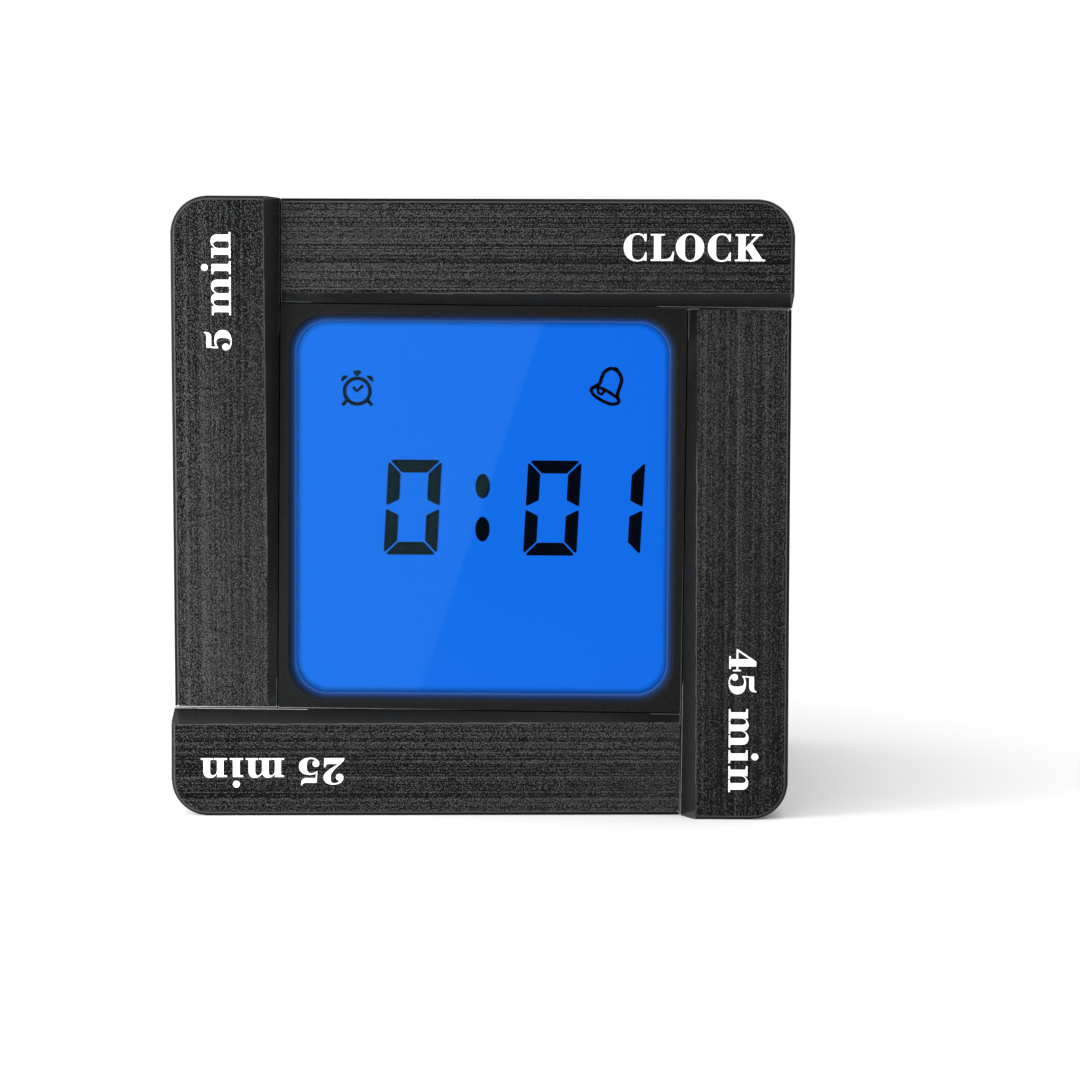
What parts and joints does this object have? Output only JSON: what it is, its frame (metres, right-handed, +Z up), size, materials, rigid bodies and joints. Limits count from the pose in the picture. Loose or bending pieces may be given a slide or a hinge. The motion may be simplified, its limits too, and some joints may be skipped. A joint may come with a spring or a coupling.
{
  "type": "flip timer",
  "caption": "Cube-shaped gravity timer with a square backlit display in a pinwheel of wedge-shaped side panels; turning it on another side starts another countdown.",
  "frame": {"origin": "middle of the base, the outer face of the lower side panel", "axes": "+Z up through the clock panel, -Y out of the display, +X to the right of its reader"},
  "size_m": [0.062, 0.056, 0.062],
  "materials": {
    "panel": "black, moulded wood grain",
    "bezel": "gloss black",
    "window": "clear polished",
    "gasket": "foam",
    "lcd": "blue negative display",
    "guide": "clear, edge lit",
    "film": "white film",
    "lamp": "blue lamp",
    "holder": "white",
    "zebra": "striped silicone",
    "circuit": "green solder mask",
    "resin": "black resin",
    "tin": "tinned",
    "gold": "plated",
    "ball": "polished",
    "cover": "fine spark texture",
    "cell": "printed jacket",
    "ceramic": "fired",
    "switch": "black",
    "button": "soft touch",
    "knob": "grey",
    "ribbon": "grey",
    "header": "ivory",
    "lead": "red jacket",
    "screw": "black zinc"
  },
  "bodies": {
    "case": {"clock_panel": "panel", "five_minute_panel": "panel", "twenty_five_minute_panel": "panel", "forty_five_minute_panel": "panel", "front_bezel": "bezel", "display_window": "window", "window_gasket": "gasket", "lcd_glass": "lcd", "light_guide": "guide", "reflector_sheet": "film", "backlight_leds": "lamp", "lcd_holder": "holder", "zebra_strips": "zebra", "main_board": "circuit", "controller_chip": "resin", "crystal": "tin", "left_tilt_can": "gold", "right_tilt_can": "gold", "left_tilt_plug": "resin", "right_tilt_plug": "resin", "rear_cover": "cover", "upper_cell": "cell", "lower_cell": "cell", "cell_contacts": "tin", "cell_springs": "tin", "buzzer_disc": "gold", "buzzer_ceramic": "ceramic", "key_board": "circuit", "key_switches": "switch", "sound_switch": "tin", "ribbon_cable": "ribbon", "ribbon_headers": "header", "battery_leads": "lead", "buzzer_leads": "lead", "panel_screws": "screw", "main_board_screws": "screw", "key_board_screws": "screw", "cover_screws": "screw"},
    "battery_door": {"battery_door": "cover"},
    "set_button": {"set_button": "button", "set_plunger": "switch"},
    "up_button": {"up_button": "button", "up_plunger": "switch"},
    "down_button": {"down_button": "button", "down_plunger": "switch"},
    "sound_knob": {"sound_knob": "knob"},
    "left_tilt_ball": {"left_tilt_ball": "ball"},
    "right_tilt_ball": {"right_tilt_ball": "ball"}
  },
  "joints": [
    {"name": "battery_door_hinge", "type": "hinge", "parent": "case", "child": "battery_door", "pos_m": [0, 0.0269, 0.03255], "axis": [1, 0, 0], "range_deg": [0, 90]},
    {"name": "set_press", "type": "slide", "parent": "case", "child": "set_button", "axis": [0, -1, 0], "range_m": [0, 0.0006], "stiffness_N_per_m": 2500},
    {"name": "up_press", "type": "slide", "parent": "case", "child": "up_button", "axis": [0, -1, 0], "range_m": [0, 0.0006], "stiffness_N_per_m": 2500},
    {"name": "down_press", "type": "slide", "parent": "case", "child": "down_button", "axis": [0, -1, 0], "range_m": [0, 0.0006], "stiffness_N_per_m": 2500},
    {"name": "sound_slide", "type": "slide", "parent": "case", "child": "sound_knob", "axis": [1, 0, 0], "range_m": [0, 0.004]},
    {"name": "left_ball_roll", "type": "slide", "parent": "case", "child": "left_tilt_ball", "axis": [-0.7071, 0, 0.7071], "range_m": [0, 0.004]},
    {"name": "right_ball_roll", "type": "slide", "parent": "case", "child": "right_tilt_ball", "axis": [0.7071, 0, 0.7071], "range_m": [0, 0.004]}
  ]
}
